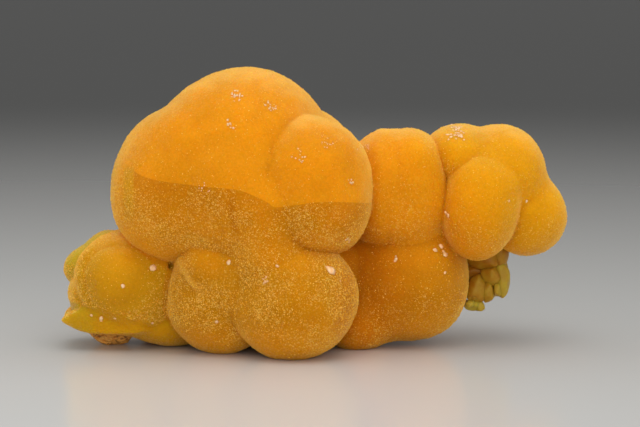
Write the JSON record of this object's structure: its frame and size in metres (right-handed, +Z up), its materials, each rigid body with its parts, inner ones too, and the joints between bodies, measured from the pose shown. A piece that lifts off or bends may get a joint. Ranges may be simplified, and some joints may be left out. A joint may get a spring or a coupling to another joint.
{
  "type": "mimetite specimen",
  "caption": "Rounded orange-yellow mimetite globules grown together in a tall head and a low arm, with an olive crystal knob and a crumb of brown matrix.",
  "frame": {"origin": "middle of the box at the surface that the specimen rests on", "axes": "+X to the right of the front view, along the arm, the longest extent; +Y to the back; +Z up"},
  "size_m": [0.0455, 0.0228, 0.0253],
  "materials": {
    "mimetite_mass": "satin",
    "olive_cluster": "satin",
    "brown_matrix": "matte"
  },
  "bodies": {
    "root": {"mimetite_mass": "mimetite_mass", "olive_cluster": "olive_cluster", "brown_matrix": "brown_matrix"}
  },
  "joints": []
}
